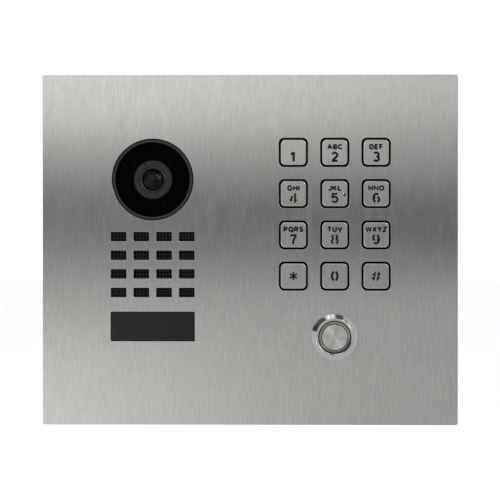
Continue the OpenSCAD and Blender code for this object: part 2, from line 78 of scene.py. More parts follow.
PLATE_LOW, PLATE_HIGH = box_mm("front_plate")
FRONT_Y = PLATE_LOW.y
CAMERA = centre_of("camera_ring")
GRILLE = centre_of("grille_mesh")
WINDOW = centre_of("reader_window")
BUTTON = centre_of("call_button_housing")
KEY_NODES = ["key_1", "key_2", "key_3", "key_4", "key_5", "key_6",
             "key_7", "key_8", "key_9", "key_star", "key_0", "key_hash"]

# sizes that the frame's boxes don't give
PLATE_CORNER_R = 0.9
PLATE_EDGE = 0.16
CAMERA_HOLE_R = 18.1
SLOT_W, SLOT_H, SLOT_R = 6.9, 4.15, 0.4
SLOT_PITCH_X, SLOT_PITCH_Z = 10.1, 8.27
SLOTS = 4
WINDOW_W, WINDOW_H, WINDOW_R = 37.3, 13.05, 0.45
KEY_HOLE, KEY_HOLE_R = 12.85, 2.4
KEY_FACE, KEY_FACE_R = 11.2, 1.85
BUTTON_HOLE_R = 9.6


# ---- outlines

def arc(x, z, radius_x, radius_z, start, end, steps=10):
    """Points along an ellipse from one angle to another, in degrees."""
    points = []
    for i in range(steps + 1):
        angle = math.radians(start + (end - start) * i / steps)
        points.append((x + radius_x * math.cos(angle), z + radius_z * math.sin(angle)))
    return points


def circle(x, z, radius, steps):
    return arc(x, z, radius, radius, 0, 360 - 360 / steps, steps - 1)


def rounded_rect(x, z, width, height, radius, steps=8):
    """The outline of a rectangle with round corners, about its middle."""
    points = []
    for sign_x, sign_z, start in ((1, 1, 0), (-1, 1, 90), (-1, -1, 180), (1, -1, 270)):
        corner_x = x + sign_x * (width / 2 - radius)
        corner_z = z + sign_z * (height / 2 - radius)
        points += arc(corner_x, corner_z, radius, radius, start, start + 90, steps)
    return points


def rounded(corners, steps=5):
    """An outline from corners given as (a, b, radius), each turned into an arc."""
    points = []
    for i, (a, b, radius) in enumerate(corners):
        here = Vector((a, b))
        if radius == 0:
            points.append(here)
            continue
        before = (Vector(corners[i - 1][:2]) - here).normalized()
        after = (Vector(corners[(i + 1) % len(corners)][:2]) - here).normalized()
        half = before.angle(after) / 2
        centre = here + (before + after).normalized() * radius / math.sin(half)
        reach = radius / math.tan(half)
        start = here + before * reach - centre
        end = here + after * reach - centre
        turn = math.atan2(start.x * end.y - start.y * end.x, start.dot(end))
        for k in range(steps + 1):
            points.append(centre + Matrix.Rotation(turn * k / steps, 2) @ start)
    return [(point[0], point[1]) for point in points]


# ---- meshes

def new_object(name, mesh):
    item = bpy.data.objects.new(name, mesh)
    bpy.context.scene.collection.objects.link(item)
    return item


def object_from(name, build, smooth_angle=32):
    """A new object from a bmesh in millimetres, with sharp edges kept sharp."""
    bmesh.ops.remove_doubles(build, verts=build.verts, dist=0.0005)
    bmesh.ops.recalc_face_normals(build, faces=build.faces)
    mesh = bpy.data.meshes.new(name)
    build.to_mesh(mesh)
    build.free()
    mesh.transform(Matrix.Scale(MM, 4))
    shade(mesh, smooth_angle)
    return new_object(name, mesh)


def shade(mesh, smooth_angle=32):
    """Smooths the rounded edges and keeps the faces that look along Y flat."""
    mesh.polygons.foreach_set("use_smooth", [True] * len(mesh.polygons))
    mesh.set_sharp_from_angle(angle=math.radians(smooth_angle))
    mesh.update()
    flat_at = {}
    for face in mesh.polygons:
        if abs(face.normal.y) > 0.9999:
            for vertex in face.vertices:
                flat_at[vertex, face.normal.y > 0] = face.normal.copy()
    normals = []
    for face in mesh.polygons:
        for loop in face.loop_indices:
            vertex = mesh.loops[loop].vertex_index
            flat = flat_at.get((vertex, face.normal.y > 0))
            if flat and face.normal.dot(flat) > math.cos(math.radians(smooth_angle + 15)):
                normals.append(flat)
            else:
                normals.append(mesh.corner_normals[loop].vector.copy())
    mesh.normals_split_custom_set(normals)


def add_sheet(build, outlines, front, back, edge, rounds):
    """Adds a flat solid between two depths, cut along its outlines, with rounded edges."""
    curve = bpy.data.curves.new("outline", "CURVE")
    curve.dimensions = "2D"
    curve.fill_mode = "BOTH"
    curve.extrude = (back - front) / 2 - edge
    curve.bevel_depth = edge
    curve.bevel_resolution = rounds
    curve.offset = -edge
    for outline in outlines:
        spline = curve.splines.new("POLY")
        spline.points.add(len(outline) - 1)
        for point, (x, z) in zip(spline.points, outline):
            point.co = (x, z, 0, 1)
        spline.use_cyclic_u = True
    source = new_object("outline", curve)
    graph = bpy.context.evaluated_depsgraph_get()
    mesh = bpy.data.meshes.new_from_object(source.evaluated_get(graph))
    mesh.transform(Matrix.Translation((0, (front + back) / 2, 0))
                   @ Matrix.Rotation(math.pi / 2, 4, "X"))
    build.from_mesh(mesh)
    bpy.data.objects.remove(source)
    bpy.data.curves.remove(curve)
    bpy.data.meshes.remove(mesh)


def add_lathe(build, profile, centre, steps):
    """Adds a closed profile of (radius, depth) turned about an axis along Y."""
    rings = []
    for i in range(steps):
        angle = 2 * math.pi * i / steps
        rings.append([build.verts.new((centre[0] + r * math.cos(angle), y,
                                       centre[1] + r * math.sin(angle))) for r, y in profile])
    for i in range(steps):
        ring, following = rings[i], rings[(i + 1) % steps]
        for k in range(len(profile)):
            j = (k + 1) % len(profile)
            if profile[k][0] > 0 or profile[j][0] > 0:
                build.faces.new((ring[k], ring[j], following[j], following[k]))


def add_tube(build, path, radius, sides):
    """Adds a round wire along a path of points."""
    count = len(path)
    rings = []
    side = None
    for i, point in enumerate(path):
        ahead = path[min(i + 1, count - 1)] - path[max(i - 1, 0)]
        ahead.normalize()
        if side is None:
            side = ahead.orthogonal()
        side = (side - ahead * side.dot(ahead)).normalized()
        up = ahead.cross(side)
        ring = []
        for k in range(sides):
            angle = 2 * math.pi * k / sides
            offset = side * math.cos(angle) + up * math.sin(angle)
            ring.append(build.verts.new(point + offset * radius))
        rings.append(ring)
    for ring, following in zip(rings, rings[1:]):
        for k in range(sides):
            j = (k + 1) % sides
            build.faces.new((ring[k], ring[j], following[j], following[k]))
    build.faces.new(rings[0])
    build.faces.new(rings[-1])


def add_prism(build, outline, front, back):
    """Adds a solid with any simple outline in X and Z, between two depths."""
    near = [build.verts.new((x, front, z)) for x, z in outline]
    far = [build.verts.new((x, back, z)) for x, z in outline]
    build.faces.new(near)
    build.faces.new(far[::-1])
    for i in range(len(outline)):
        j = (i + 1) % len(outline)
        build.faces.new((near[i], far[i], far[j], near[j]))


def sheet(name, outlines, front, back, edge, rounds):
    """A flat piece cut along its outlines, as add_sheet makes it."""
    build = bmesh.new()
    add_sheet(build, outlines, front, back, edge, rounds)
    return object_from(name, build)


def lathe(name, profile, centre, steps, smooth_angle=32):
    """A turned piece, as add_lathe makes it."""
    build = bmesh.new()
    add_lathe(build, profile, centre, steps)
    return object_from(name, build, smooth_angle)


def cut(item, tool):
    """Cuts the tool out of the item, and removes the tool."""
    modifier = item.modifiers.new("cut", "BOOLEAN")
    modifier.object = tool
    modifier.operation = "DIFFERENCE"
    modifier.solver = "EXACT"
    modifier.use_self = True
    modifier.material_mode = "TRANSFER"
    graph = bpy.context.evaluated_depsgraph_get()
    mesh = bpy.data.meshes.new_from_object(item.evaluated_get(graph))
    item.modifiers.clear()
    item.data = mesh
    bpy.data.objects.remove(tool)


# ---- materials

def set_sockets(node, **values):
    """Sets a node's own sockets; an underscore stands for a space in a socket's name."""
    for socket, value in values.items():
        node.inputs[socket.replace("_", " ")].default_value = value


def tree_of(item):
    """The nodes and the links of a material or a world."""
    return item.node_tree.nodes, item.node_tree.links


def principled(name, colour, roughness, metallic=0.0, **sockets):
    """A new material with its even values set on the shader's own sockets."""
    material = bpy.data.materials.new(name)
    material.use_nodes = True
    set_sockets(material.node_tree.nodes["Principled BSDF"], Base_Color=(*colour, 1),
                Roughness=roughness, Metallic=metallic, **sockets)
    return material


def pattern(material, scale, detail=3.0, roughness=0.6, stretch=(1, 1, 1), kind="NOISE"):
    """A noise fixed to the piece; scale is in features per metre, and stretch is per axis."""
    nodes, links = tree_of(material)
    place = nodes.new("ShaderNodeTexCoord")
    mapping = nodes.new("ShaderNodeMapping")
    set_sockets(mapping, Scale=[scale * s for s in stretch])
    links.new(place.outputs["Object"], mapping.inputs["Vector"])
    if kind == "NOISE":
        noise = nodes.new("ShaderNodeTexNoise")
        set_sockets(noise, Detail=detail, Roughness=roughness)
        output = noise.outputs["Fac"]
    else:
        noise = nodes.new("ShaderNodeTexVoronoi")
        output = noise.outputs["Distance"]
    set_sockets(noise, Scale=1.0)
    links.new(mapping.outputs["Vector"], noise.inputs["Vector"])
    return output


def spread(material, source, low, high, start=0.3, end=0.7):
    """A number that runs from low to high as the source runs from start to end."""
    nodes, links = tree_of(material)
    ranger = nodes.new("ShaderNodeMapRange")
    set_sockets(ranger, From_Min=start, From_Max=end, To_Min=low, To_Max=high)
    links.new(source, ranger.inputs["Value"])
    return ranger.outputs["Result"]


def tint(material, source, dark, light, start=0.3, end=0.7):
    """Sets the base colour between two colours as the source runs from start to end."""
    nodes, links = tree_of(material)
    ramp = nodes.new("ShaderNodeValToRGB")
    for element, place, colour in zip(ramp.color_ramp.elements, (start, end), (dark, light)):
        element.position = place
        element.color = (*colour, 1)
    links.new(source, ramp.inputs["Fac"])
    links.new(ramp.outputs["Color"], nodes["Principled BSDF"].inputs["Base Color"])


def vary_roughness(material, source, low, high):
    """Lets the roughness run from low to high with the source."""
    nodes, links = tree_of(material)
    links.new(spread(material, source, low, high), nodes["Principled BSDF"].inputs["Roughness"])


def relief(material, source, depth, strength):
    """Raises the surface by the source, to a depth in metres."""
    nodes, links = tree_of(material)
    bump = nodes.new("ShaderNodeBump")
    set_sockets(bump, Strength=strength, Distance=depth)
    links.new(source, bump.inputs["Height"])
    links.new(bump.outputs["Normal"], nodes["Principled BSDF"].inputs["Normal"])


def along(material, direction):
    """Stretches the metal's highlight along one direction."""
    nodes, links = tree_of(material)
    vector = nodes.new("ShaderNodeCombineXYZ")
    set_sockets(vector, **dict(zip("XYZ", direction)))
    links.new(vector.outputs["Vector"], nodes["Principled BSDF"].inputs["Tangent"])


def shades(colour, amount):
    """A darker and a lighter version of a colour."""
    dark = tuple(channel * (1 - amount) for channel in colour)
    light = tuple(min(channel * (1 + amount), 1) for channel in colour)
    return dark, light


def brushed(name, colour, roughness, anisotropy, grain, length, amount):
    """Steel brushed along Z: grain is the lines per metre and length how much longer they are."""
    material = principled(name, colour, roughness, 1.0, Anisotropic=anisotropy)
    along(material, (1, 0, 0))
    lines = pattern(material, grain, 4.0, 0.65, (1, 0.3, 1 / length))
    tint(material, lines, *shades(colour, amount))
    patches = pattern(material, grain / 6, 2.0, 0.5, (1, 0.3, 3 / length))
    vary_roughness(material, patches, roughness * 0.9, roughness * 1.12)
    return material


def plain_metal(name, colour, roughness, grain=900, amount=0.06):
    """Metal with a faint cloudiness in its colour and polish."""
    material = principled(name, colour, roughness, 1.0)
    clouds = pattern(material, grain)
    tint(material, clouds, *shades(colour, amount))
    vary_roughness(material, clouds, roughness * 0.8, roughness * 1.3)
    return material


def turned_metal(name, colour, roughness, anisotropy):
    """Metal turned on a lathe about Y: its highlight fans out from the middle."""
    material = principled(name, colour, roughness, 1.0, Anisotropic=anisotropy)
    nodes, links = tree_of(material)
    around = nodes.new("ShaderNodeTangent")
    around.direction_type = "RADIAL"
    around.axis = "Y"
    links.new(around.outputs["Tangent"], nodes["Principled BSDF"].inputs["Tangent"])
    clouds = pattern(material, 1500)
    tint(material, clouds, *shades(colour, 0.03))
    vary_roughness(material, clouds, roughness * 0.95, roughness * 1.05)
    return material


def moulded(name, colour, roughness, grain=2500, depth=0.00002, amount=0.12, specular=0.5):
    """Plastic or rubber with the fine grain of its mould."""
    material = principled(name, colour, roughness, Specular_IOR_Level=specular)
    clouds = pattern(material, grain / 12)
    tint(material, clouds, *shades(colour, amount))
    texture = pattern(material, grain, 2.0)
    vary_roughness(material, texture, roughness * 0.88, min(roughness * 1.12, 1))
    relief(material, texture, depth, 0.5)
    return material


def board_material():
    """Solder resist over copper tracks: fine lines show lighter through the green."""
    material = principled("circuit_board", (0.01, 0.09, 0.035), 0.35, 0.0, Coat_Weight=0.3)
    tracks = pattern(material, 420, kind="VORONOI")
    tint(material, tracks, (0.012, 0.11, 0.045), (0.006, 0.06, 0.022), 0.42, 0.5)
    relief(material, tracks, 0.00003, 0.4)
    return material


def see_through(name, clear, gloss, roughness):
    """A thin clear plate: what is behind shows, darkened, under a weak reflection."""
    material = bpy.data.materials.new(name)
    material.use_nodes = True
    nodes, links = tree_of(material)
    nodes.clear()
    output = nodes.new("ShaderNodeOutputMaterial")
    mix = nodes.new("ShaderNodeMixShader")
    set_sockets(mix, Fac=gloss)
    clear_part = nodes.new("ShaderNodeBsdfTransparent")
    set_sockets(clear_part, Color=(*clear, 1))
    shine = nodes.new("ShaderNodeBsdfGlossy")
    set_sockets(shine, Roughness=roughness)
    links.new(clear_part.outputs["BSDF"], mix.inputs[1])
    links.new(shine.outputs["BSDF"], mix.inputs[2])
    links.new(mix.outputs["Shader"], output.inputs["Surface"])
    return material


# colour, roughness, grain per metre and unevenness of the colour
METALS = {
    "bright_steel": ((0.7, 0.695, 0.68), 0.09, 700, 0.03),
    "fastener_steel": ((0.55, 0.55, 0.56), 0.34),
    "spring_steel": ((0.42, 0.42, 0.43), 0.3, 1500),
    "sensor": ((0.12, 0.16, 0.2), 0.15),
    "brass_fitting": ((0.72, 0.56, 0.28), 0.28),
    "copper": ((0.7, 0.38, 0.22), 0.3),
    "can_metal": ((0.2, 0.2, 0.26), 0.35),
    "socket_metal": ((0.68, 0.68, 0.68), 0.3),
    "magnet_metal": ((0.5, 0.5, 0.5), 0.3),
    "rim_metal": ((0.12, 0.12, 0.118), 0.25),
    # the cap's sloping rim: a darker, rougher copy of the turned steel with a strong random mottle;
    # its darkness is painted shade in the groove round the cap
    "rim_painted_shade": ((0.55, 0.54, 0.525), 0.35, 1500, 0.35),
}
# colour, roughness, grain per metre, its depth in metres, unevenness and specular level
MOULDED = {
    "black_plastic": ((0.014, 0.014, 0.0145), 0.55),
    "gloss_black": ((0.017, 0.0165, 0.016), 0.4, 1800, 0.00001, 0.12, 0.3),
    "window_plastic": ((0.0055, 0.0042, 0.005), 0.09, 300, 0.000002, 0.12, 0.33),
    "lens_black": ((0.024, 0.0235, 0.023), 0.36, 1600, 0.00001),
    "black_rubber": ((0.016, 0.016, 0.016), 0.72, 1500, 0.00004),
    "silicone": ((0.1, 0.1, 0.11), 0.6, 1200, 0.00003),
    "mesh_black": ((0.018, 0.018, 0.0155), 0.5, 3000, 0.00002, 0.12, 0.3),
    "chip_black": ((0.02, 0.02, 0.022), 0.5, 4000),
    "relay_blue": ((0.03, 0.1, 0.36), 0.35, 1500),
    "terminal_green": ((0.02, 0.24, 0.08), 0.45, 1500),
    "cone_film": ((0.003, 0.003, 0.003), 0.5, 900, 0.00002, 0.12, 0.1),
    "basket_metal": ((0.006, 0.006, 0.006), 0.5, 900, 0.00002, 0.12, 0.2),
    "ribbon_white": ((0.7, 0.7, 0.67), 0.4, 900),
    "box_grey": ((0.055, 0.056, 0.06), 0.55, 1500, 0.00006, 0.1),
    "legend_ink": ((0.004, 0.004, 0.004), 0.8, 3000, 0.00002, 0.12, 0.2),
    # a far darker, sheenless copy of black plastic: painted shade for parts deep in gaps and
    # recesses
    "shade_black": ((0.0013, 0.0013, 0.0013), 0.8, 2000, 0.00002, 0.12, 0.02),
    # a darker copy of black plastic: painted shade behind the lens and behind the grille
    "baffle_shade_black": ((0.006, 0.006, 0.006), 0.6, 2000, 0.00002, 0.12, 0.1),
    "inner_glass": ((0.002, 0.002, 0.003), 0.1, 300, 0.0000001, 0.12, 0.25),
}
MATERIALS = {
    "plate_steel": brushed("plate_steel", (0.62, 0.604, 0.584), 0.2, 1.0, 1900, 12, 0.085),
    "key_steel": brushed("key_steel", (0.64, 0.624, 0.602), 0.2, 0.4, 2200, 12, 0.05),
    "turned_steel": turned_metal("turned_steel", (0.67, 0.655, 0.632), 0.26, 0.95),
    "clear_cover": see_through("clear_cover", (0.86, 0.86, 0.86), 0.0008, 0.03),
    "lens_glass": see_through("lens_glass", (0.6, 0.6, 0.62), 0.035, 0.16),
    "circuit_board": board_material(),
}
MATERIALS.update({name: plain_metal(name, *values) for name, values in METALS.items()})
MATERIALS.update({name: moulded(name, *values) for name, values in MOULDED.items()})


def finish(item, slot_name, body=ROOT, replaced=(), surface=None):
    """Gives a new piece its material and its body, and hides the CAD nodes it stands for."""
    if len(item.data.materials) == 0:
        item.data.materials.append(MATERIALS[surface or slot_name])
    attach(item, body)
    if replaced:
        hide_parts(*replaced)


# ---- the front plate

def plate_outlines():
    """The plate's own outline and every opening in it."""
    middle = (SLOTS - 1) / 2
    width = PLATE_HIGH.x - PLATE_LOW.x
    height = PLATE_HIGH.z - PLATE_LOW.z
    outlines = [rounded_rect(0, 0, width, height, PLATE_CORNER_R)]
    outlines.append(circle(*CAMERA, CAMERA_HOLE_R, 160))
    for i in range(SLOTS):
        for j in range(SLOTS):
            x = GRILLE[0] + (i - middle) * SLOT_PITCH_X
            z = GRILLE[1] + (j - middle) * SLOT_PITCH_Z
            outlines.append(rounded_rect(x, z, SLOT_W, SLOT_H, SLOT_R, 4))
    outlines.append(rounded_rect(*WINDOW, WINDOW_W, WINDOW_H, WINDOW_R, 4))
    for node in KEY_NODES:
        outlines.append(rounded_rect(*centre_of(node), KEY_HOLE, KEY_HOLE, KEY_HOLE_R))
    outlines.append(circle(*BUTTON, BUTTON_HOLE_R, 96))
    return outlines


plate = sheet("plate", plate_outlines(), PLATE_LOW.y, PLATE_HIGH.y, PLATE_EDGE, 2)
finish(plate, "plate_steel", ROOT, ["front_plate"])


# ---- the keys

# the width of the pen that draws each figure, in millimetres
FIGURE_PENS = {"1": 1.05, "2": 1.0, "3": 1.0, "4": 0.86, "5": 0.86, "6": 0.94, "7": 0.88,
               "8": 0.84, "9": 0.94, "0": 1.0, "star": 0.78, "hash": 0.66}
LETTER_PEN = 0.72
DIGIT_DROP = 1.95
LETTER_RISE = 2.45
LETTER_GAP = 0.87
ENGRAVING = 0.16
CAP_T, CAP_EDGE = 3.4, 0.42
CARRIER_INSET = 0.15
FLANGE_FRONT, FLANGE_BACK = 3.9, 4.9
FLANGE_R = 2.4
PLUNGER_R = 2.2
OVERLAP = 0.1


def turned_round(strokes):
    """The same strokes, upside down and mirrored."""
    return [[(-x, -z) for x, z in stroke] for stroke in strokes]


SIX = [
    arc(0.1, 0.0, 1.3, 1.85, 48, 252, 16),
    [(-0.95, 0.05), (-0.35, 0.6)],
    arc(0.05, -0.7, 1.25, 1.2, 68, -66),
]
# pen strokes of each figure about its own centre, with the gaps of a stencil
FIGURES = {
    "1": [[(-1.1, 0.95), (0.2, 1.9)], [(0.12, 2.1), (0.12, -2.1)]],
    "2": [arc(0.0, 0.75, 1.1, 1.05, 165, -32) + [(-1.05, -1.75)], [(-1.35, -1.8), (1.3, -1.8)]],
    "3": [arc(0.0, 0.9, 1.05, 0.95, 150, -85), arc(0.0, -0.85, 1.2, 1.0, 85, -152)],
    "4": [[(0.75, 2.1), (0.75, -2.1)], [(0.3, -1.0), (1.5, -1.0)],
          [(-0.25, 0.85), (-1.35, -0.95)], [(-1.55, -1.0), (-0.5, -1.0)]],
    "5": [[(1.2, 1.8), (-0.95, 1.8)], [(-0.85, 2.1), (-1.1, 0.1)],
          arc(0.0, -0.6, 1.25, 1.2, 150, -150)],
    "6": SIX,
    "7": [[(-1.35, 1.8), (1.4, 1.8)], [(1.15, 1.75), (0.2, -0.2), (-0.25, -2.1)]],
    "8": [arc(0.0, 1.0, 1.1, 0.95, 115, 245), arc(0.0, -0.9, 1.35, 1.05, 112, 245),
          arc(0.0, 1.0, 1.1, 0.95, 65, -65), arc(0.0, -0.9, 1.35, 1.05, 68, -65)],
    "9": turned_round(SIX),
    "0": [arc(0.0, 0.0, 1.2, 2.0, 108, 252), arc(0.0, 0.0, 1.2, 2.0, 72, -72)],
    "star": [[(0, 1.8), (0, -1.8)], [(-1.6, 0.92), (1.6, -0.92)], [(-1.6, -0.92), (1.6, 0.92)]],
    "hash": [[(-0.35, 2.0), (-1.2, -2.0)], [(1.35, 2.0), (0.5, -2.0)],
             [(-1.75, 0.75), (-0.15, 0.75)], [(0.45, 0.75), (1.9, 0.75)],
             [(-1.95, -0.85), (-0.4, -0.85)], [(0.2, -0.85), (1.65, -0.85)]],
}
TOP, LOW = 0.9, -0.9
BOWL = [(0, TOP)] + arc(0.7, 0.42, 0.55, 0.48, 90, -90, 8) + [(0, -0.06)]
ROUND = [arc(0.85, 0, 0.85, 0.9, 88, 272, 12), arc(0.85, 0, 0.85, 0.9, -92, 92, 12)]
STEM = [(0, LOW), (0, TOP)]
# each letter's width and pen strokes, from the middle of its left side, in millimetres
LETTERS = {
    "A": (1.7, [[(0, LOW), (0.85, TOP), (1.7, LOW)], [(0.35, -0.35), (1.35, -0.35)]]),
    "B": (1.3, [STEM, BOWL, [(0, 0)] + arc(0.8, -0.45, 0.55, 0.45, 90, -90, 8) + [(0, LOW)]]),
    "C": (1.45, [arc(0.85, 0, 0.85, 0.9, 45, 315, 14)]),
    "D": (1.45, [STEM, [(0, TOP)] + arc(0.6, 0, 0.85, 0.9, 90, -90, 10) + [(0, LOW)]]),
    "E": (1.2, [[(1.2, TOP), (0, TOP), (0, LOW), (1.2, LOW)], [(0, 0), (1.1, 0)]]),
    "F": (1.15, [[(1.15, TOP), (0, TOP), (0, LOW)], [(0, 0), (1.0, 0)]]),
    "G": (1.65, [arc(0.85, 0, 0.85, 0.9, 45, 352, 16), [(1.85, -0.08), (1.1, -0.08)]]),
    "H": (1.4, [STEM, [(1.4, LOW), (1.4, TOP)], [(0, 0), (1.4, 0)]]),
    "I": (0.0, [STEM]),
    "J": (1.15, [[(1.15, TOP)] + arc(0.62, -0.4, 0.53, 0.5, 0, -165, 8)]),
    "K": (1.5, [STEM, [(1.4, TOP), (0.05, -0.15)], [(0.55, 0.2), (1.5, LOW)]]),
    "L": (1.2, [[(0, TOP), (0, LOW), (1.2, LOW)]]),
    "M": (1.7, [[(0, LOW), (0, TOP), (0.85, -0.5), (1.7, TOP), (1.7, LOW)]]),
    "N": (1.4, [[(0, LOW), (0, TOP), (1.4, LOW), (1.4, TOP)]]),
    "O": (1.7, ROUND),
    "P": (1.25, [STEM, BOWL]),
    "Q": (1.7, ROUND + [[(1.0, -0.3), (1.85, -1.15)]]),
    "R": (1.35, [STEM, BOWL, [(0.65, -0.06), (1.35, LOW)]]),
    "S": (1.25, [arc(0.62, 0.45, 0.55, 0.45, 25, 268, 10)
                 + arc(0.62, -0.45, 0.62, 0.45, 88, -155, 10)]),
    "T": (1.4, [[(0, TOP), (1.4, TOP)], [(0.7, TOP), (0.7, LOW)]]),
    "U": (1.4, [[(0, TOP)] + arc(0.7, -0.25, 0.7, 0.65, 180, 360, 10) + [(1.4, TOP)]]),
    "V": (1.5, [[(0, TOP), (0.75, LOW), (1.5, TOP)]]),
    "W": (2.1, [[(0, TOP), (0.5, LOW), (1.05, 0.7), (1.6, LOW), (2.1, TOP)]]),
    "X": (1.4, [[(0, TOP), (1.4, LOW)], [(0, LOW), (1.4, TOP)]]),
    "Y": (1.4, [[(0, TOP), (0.7, -0.05), (1.4, TOP)], [(0.7, 0.1), (0.7, LOW)]]),
    "Z": (1.3, [[(0, TOP), (1.3, TOP), (0, LOW), (1.3, LOW)]]),
}
WORDS = {"2": "ABC", "3": "DEF", "4": "GHI", "5": "JKL", "6": "MNO", "7": "PQRS",
         "8": "TUV", "9": "WXYZ"}


def pen_outline(points, width):
    """The outline of a line of even width through the points."""
    points = [Vector(point) for point in points]
    left, right = [], []
    for i, point in enumerate(points):
        before = (point - points[max(i - 1, 0)]).normalized()
        after = (points[min(i + 1, len(points) - 1)] - point).normalized()
        direction = (before + after).normalized()
        side = Vector((-direction.y, direction.x))
        slope = max(direction.dot(after if i == 0 else before), 0.5)
        left.append(point + side * width / 2 / slope)
        right.append(point - side * width / 2 / slope)
    return [(point.x, point.y) for point in left + right[::-1]]


def strokes_tool(strokes, pen, start, front, back):
    """A solid that cuts a set of pen strokes, placed with their origin at the start."""
    build = bmesh.new()
    for points in strokes:
        outline = [(x + start[0], z + start[1]) for x, z in pen_outline(points, pen)]
        add_prism(build, outline, front, back)
    tool = object_from("strokes", build)
    tool.data.materials.append(MATERIALS["legend_ink"])
    return tool


def word_tools(word, centre, front, back):
    """One cutting solid for each letter of a word set about its centre."""
    widths = [LETTERS[letter][0] for letter in word]
    x = centre[0] - (sum(widths) + LETTER_GAP * (len(word) - 1)) / 2
    tools = []
    for letter, width in zip(word, widths):
        tools.append(strokes_tool(LETTERS[letter][1], LETTER_PEN, (x, centre[1]), front, back))
        x += width + LETTER_GAP
    return tools


def key_cap(node):
    """A steel cap on a black carrier with its flange and plunger, and a filled engraving."""
    figure = node[len("key_"):]
    low, high = box_mm(node)
    x, z = centre_of(node)
    cap = sheet("cap_" + figure, [rounded_rect(x, z, KEY_FACE, KEY_FACE, KEY_FACE_R, 10)],
                low.y, low.y + CAP_T, CAP_EDGE, 4)
    cap.data.materials.append(MATERIALS["key_steel"])
    drop = DIGIT_DROP if figure.isdigit() and figure != "0" else 0
    depths = (low.y - 1, low.y + ENGRAVING)
    tools = [strokes_tool(FIGURES[figure], FIGURE_PENS[figure], (x, z - drop), *depths)]
    if figure in WORDS:
        tools += word_tools(WORDS[figure], (x, z + LETTER_RISE), *depths)
    for tool in tools:
        cut(cap, tool)
    shade(cap.data)
    finish(cap, "key_steel", node, [node])

    carrier = bmesh.new()
    neck = KEY_FACE - 2 * CARRIER_INSET
    add_sheet(carrier, [rounded_rect(x, z, neck, neck, KEY_FACE_R, 6)],
              low.y + CAP_T, low.y + FLANGE_FRONT + OVERLAP, 0.05, 1)
    add_sheet(carrier, [rounded_rect(x, z, high.x - low.x, high.z - low.z, FLANGE_R)],
              low.y + FLANGE_FRONT, low.y + FLANGE_BACK, 0.12, 2)
    plunger_front = low.y + FLANGE_BACK - OVERLAP
    add_lathe(carrier, rounded([(0, plunger_front, 0), (PLUNGER_R, plunger_front, 0),
                                (PLUNGER_R, high.y, 0.25), (0, high.y, 0)]), (x, z), 32)
    # the carrier's near-black is painted shade in the gap round the key
    finish(object_from("carrier_" + figure, carrier), "black_plastic", node, [], "shade_black")


for key_node in KEY_NODES:
    key_cap(key_node)

COLLAR_OUTER = KEY_HOLE - 0.02
COLLAR_T = 0.14
COLLAR_SINK = 0.12


def keypad_collars():
    """Black sleeves of the keypad's frame that line the openings in the plate; their near-black is
    painted shade in the gaps round the keys.
    """
    inner = COLLAR_OUTER - 2 * COLLAR_T
    outlines = []
    for node in KEY_NODES:
        x, z = centre_of(node)
        outlines.append(rounded_rect(x, z, COLLAR_OUTER, COLLAR_OUTER, KEY_HOLE_R))
        outlines.append(rounded_rect(x, z, inner, inner, KEY_HOLE_R - COLLAR_T))
    collars = sheet("keypad_collars", outlines, FRONT_Y + COLLAR_SINK, 0, 0.04, 2)
    finish(collars, "black_plastic", ROOT, [], "shade_black")


keypad_collars()

DOT_R, DOT_RISE = 0.42, 0.3
DOT_RIGHT, DOT_DROP = 3.8, 0.12
# the dot's painted shadow: a thin black disc, off to the lower right
DOT_SHADOW_R, DOT_SHADOW_RISE = 0.66, 0.02
DOT_SHADOW_RIGHT, DOT_SHADOW_DROP = 0.48, 0.33


def finger_dot():
    """The raised dot beside the 5, with a painted shadow at its lower right: a thin disc of black
    ink.
    """
    x, z = centre_of("key_5")
    face = box_mm("key_5")[0].y
    x, z = x + DOT_RIGHT, z - DOT_DROP
    profile = [(0, face + DOT_RISE), (DOT_R, face + DOT_RISE)]
    for degrees in range(0, 91, 15):
        angle = math.radians(degrees)
        profile.append((DOT_R * math.cos(angle), face - DOT_RISE * math.sin(angle)))
    finish(lathe("finger_dot", profile, (x, z), 24, 60), "key_steel", "key_5")
    front, back = face - DOT_SHADOW_RISE, face + 0.2
    # painted shadow of the dot, in black ink
    dot_shadow = lathe("finger_dot_shadow", [(0, front), (DOT_SHADOW_R, front), (DOT_SHADOW_R, back), (0, back)],
                 (x + DOT_SHADOW_RIGHT, z - DOT_SHADOW_DROP), 24, 60)
    finish(dot_shadow, "key_steel", "key_5", [], "legend_ink")


finger_dot()

MAT_T = 1.0
DOME_R = 4.6
DOME_TOP_R = 2.4
DOME_WALL = 0.7


def keypad_mat():
    """The silicone mat: a sheet with a hollow dome behind each key."""
    low, high = box_mm("keypad_mat")
    x, z = centre_of("keypad_mat")
    front = high.y - MAT_T
    outlines = [rounded_rect(x, z, high.x - low.x, high.z - low.z, 1.5)]
    for node in KEY_NODES:
        outlines.append(circle(*centre_of(node), DOME_R - DOME_WALL, 48))
    mat = sheet("mat", outlines, front, high.y, 0.1, 2)
    finish(mat, "silicone", ROOT, ["keypad_mat"])
    for node in KEY_NODES:
        x, z = centre_of(node)
        top = low.y + 0.02
        profile = rounded([(0, top, 0), (DOME_TOP_R, top, 0.2), (DOME_TOP_R + 0.2, top + 0.4, 0.1),
                           (DOME_R, front, 0), (DOME_R - DOME_WALL, front, 0),
                           (DOME_TOP_R - 0.6, top + DOME_WALL, 0.1), (0, top + DOME_WALL, 0)], 3)
        dome_piece = lathe("dome_" + node[len("key_"):], profile, (x, z), 48)
        finish(dome_piece, "silicone")
        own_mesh(dome_piece)


keypad_mat()


# ---- camera

